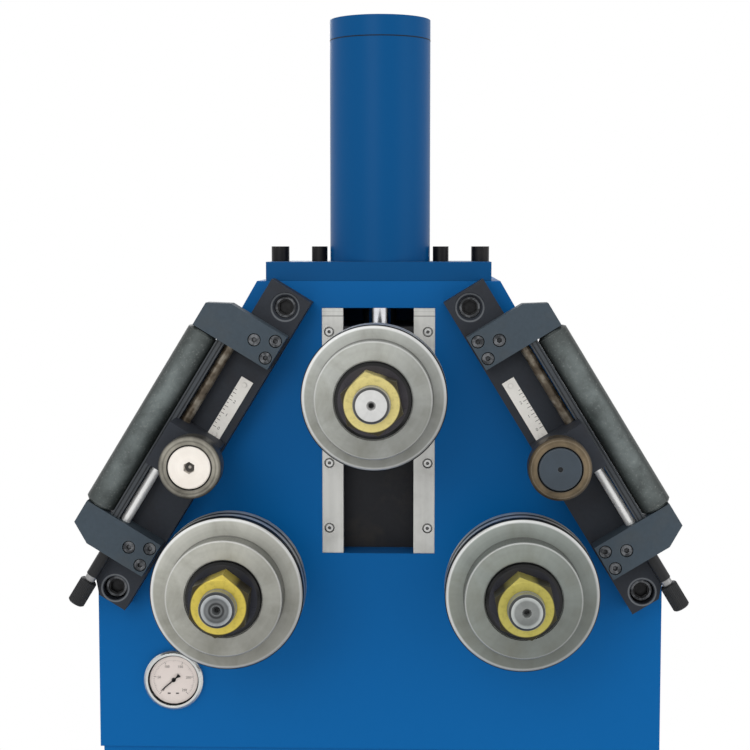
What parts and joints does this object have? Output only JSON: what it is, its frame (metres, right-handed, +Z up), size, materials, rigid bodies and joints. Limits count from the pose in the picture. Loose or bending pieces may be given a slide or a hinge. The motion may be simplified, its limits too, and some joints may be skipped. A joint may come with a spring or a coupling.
{
  "type": "ring roller",
  "caption": "Three-roll ring bender with a hydraulic press slide, geared lower rolls, two slanted side guides with lead screws, a pressure gauge and a floor cabinet.",
  "frame": {"origin": "on the floor, at the centre of the four anchor holes in the foot rim", "axes": "+Z up, front towards -Y (the rolls point to -Y), +X to the right seen from the front"},
  "size_m": [0.7158, 0.7171, 1.5684],
  "materials": {
    "blue_paint": "gloss blue machine paint",
    "deep_blue_paint": "satin blue machine paint",
    "slate_steel": "phosphated, dark slate",
    "dark_steel": "dark phosphated",
    "black_oxide": "black oxide, oiled",
    "turned_steel": "turned, light oil film",
    "bright_steel": "ground",
    "gib_steel": "ground, light grey",
    "zinc_yellow": "yellow zinc plated",
    "chrome_steel": "hard chrome, polished",
    "bronze": "machined bronze",
    "cast_grey": "painted grey casting",
    "motor_grey": "cast, grey",
    "cap_cream": "bright faced",
    "gauge_glass": "clear",
    "needle_black": "matt black",
    "scale_pale": "printed, pale",
    "tank_plastic": "moulded, dark grey",
    "box_plastic": "moulded, light grey",
    "switch_red": "moulded, red"
  },
  "bodies": {
    "frame": {"cabinet_shell": "blue_paint", "rear_panel": "blue_paint", "head_shell": "blue_paint", "front_plate": "blue_paint", "bearing_plate": "blue_paint", "rear_cover": "blue_paint", "gib_strips": "gib_steel", "wear_plates": "bronze", "shaft_covers": "dark_steel", "frame_bearings": "chrome_steel", "plate_screws": "bright_steel", "cylinder_barrel": "deep_blue_paint", "cylinder_cap": "deep_blue_paint", "rod_gland": "bronze", "flange_screws": "black_oxide", "gearbox": "cast_grey", "gear_motor": "motor_grey", "bracket_bases": "dark_steel", "end_plates": "slate_steel", "guide_rails": "dark_steel", "bracket_screws": "black_oxide", "scale_strips": "scale_pale", "gauge_case": "chrome_steel", "gauge_glass": "gauge_glass", "oil_tank": "tank_plastic", "pump_unit": "motor_grey", "oil_pipes": "bright_steel", "electric_box": "box_plastic"},
    "press_slide": {"slide_block": "dark_steel", "slide_bearings": "chrome_steel", "piston_rod": "chrome_steel"},
    "upper_spindle": {"upper_shaft": "bright_steel", "upper_rolls": "turned_steel", "upper_collar": "black_oxide", "upper_nut": "zinc_yellow"},
    "lower_left_spindle": {"left_shaft": "bright_steel", "left_rolls": "turned_steel", "left_collar": "black_oxide", "left_nut": "zinc_yellow", "left_gear": "turned_steel"},
    "lower_right_spindle": {"right_shaft": "bright_steel", "right_rolls": "turned_steel", "right_collar": "black_oxide", "right_nut": "zinc_yellow", "right_gear": "turned_steel"},
    "drive_spindle": {"drive_pinion": "turned_steel"},
    "left_carriage_unit": {"left_carriage": "dark_steel", "left_disc_cap": "cap_cream"},
    "left_disc_unit": {"left_guide_disc": "turned_steel"},
    "left_screw_unit": {"left_lead_screw": "bright_steel", "left_knob": "black_oxide"},
    "left_roller_unit": {"left_support_roller": "black_oxide"},
    "right_carriage_unit": {"right_carriage": "dark_steel", "right_disc_cap": "slate_steel"},
    "right_disc_unit": {"right_guide_disc": "turned_steel"},
    "right_screw_unit": {"right_lead_screw": "bright_steel", "right_knob": "black_oxide"},
    "right_roller_unit": {"right_support_roller": "black_oxide"},
    "needle_unit": {"gauge_needle": "needle_black"},
    "switch_unit": {"switch_knob": "switch_red"}
  },
  "joints": [
    {"name": "press_feed", "type": "slide", "parent": "frame", "child": "press_slide", "axis": [0, 0, -1], "range_m": [0, 0.11]},
    {"name": "upper_roll_spin", "type": "hinge", "parent": "press_slide", "child": "upper_spindle", "pos_m": [0, -0.388, 1.1363], "axis": [0, 1, 0], "continuous": true},
    {"name": "left_roll_spin", "type": "hinge", "parent": "frame", "child": "lower_left_spindle", "pos_m": [-0.1625, -0.388, 0.92], "axis": [0, 1, 0], "continuous": true},
    {"name": "right_roll_spin", "type": "hinge", "parent": "frame", "child": "lower_right_spindle", "pos_m": [0.1625, -0.388, 0.92], "axis": [0, 1, 0], "continuous": true},
    {"name": "pinion_spin", "type": "hinge", "parent": "frame", "child": "drive_spindle", "pos_m": [0, -0.1, 0.86363], "axis": [0, 1, 0], "continuous": true},
    {"name": "left_guide_feed", "type": "slide", "parent": "frame", "child": "left_carriage_unit", "axis": [0.521, 0, 0.8536], "range_m": [-0.034, 0.095]},
    {"name": "left_screw_turn", "type": "hinge", "parent": "frame", "child": "left_screw_unit", "pos_m": [-0.32835, -0.295, 0.92347], "axis": [0.521, 0, 0.8536], "range_deg": [-4100, 11450]},
    {"name": "left_guide_spin", "type": "hinge", "parent": "left_carriage_unit", "child": "left_disc_unit", "pos_m": [-0.20272, -0.369, 1.05885], "axis": [0, 1, 0], "continuous": true},
    {"name": "left_roller_spin", "type": "hinge", "parent": "frame", "child": "left_roller_unit", "pos_m": [-0.25906, -0.295, 1.10378], "axis": [0.521, 0, 0.8536], "continuous": true},
    {"name": "right_guide_feed", "type": "slide", "parent": "frame", "child": "right_carriage_unit", "axis": [-0.521, 0, 0.8536], "range_m": [-0.034, 0.095]},
    {"name": "right_screw_turn", "type": "hinge", "parent": "frame", "child": "right_screw_unit", "pos_m": [0.32835, -0.295, 0.92347], "axis": [-0.521, 0, 0.8536], "range_deg": [-4100, 11450]},
    {"name": "right_guide_spin", "type": "hinge", "parent": "right_carriage_unit", "child": "right_disc_unit", "pos_m": [0.20272, -0.369, 1.05885], "axis": [0, 1, 0], "continuous": true},
    {"name": "right_roller_spin", "type": "hinge", "parent": "frame", "child": "right_roller_unit", "pos_m": [0.25906, -0.295, 1.10378], "axis": [-0.521, 0, 0.8536], "continuous": true},
    {"name": "needle_swing", "type": "hinge", "parent": "frame", "child": "needle_unit", "pos_m": [-0.245, -0.243, 0.783], "axis": [0, 1, 0], "range_deg": [0, 270]},
    {"name": "switch_turn", "type": "hinge", "parent": "frame", "child": "switch_unit", "pos_m": [0.3315, 0.06, 0.48], "axis": [1, 0, 0], "range_deg": [0, 90]}
  ],
  "couplings": [
    {"joint": "right_roll_spin", "follows": "left_roll_spin", "ratio": 1},
    {"joint": "pinion_spin", "follows": "left_roll_spin", "ratio": -1.3889},
    {"joint": "left_screw_turn", "follows": "left_guide_feed", "rad_per_m": 2094.4},
    {"joint": "right_screw_turn", "follows": "right_guide_feed", "rad_per_m": 2094.4}
  ]
}
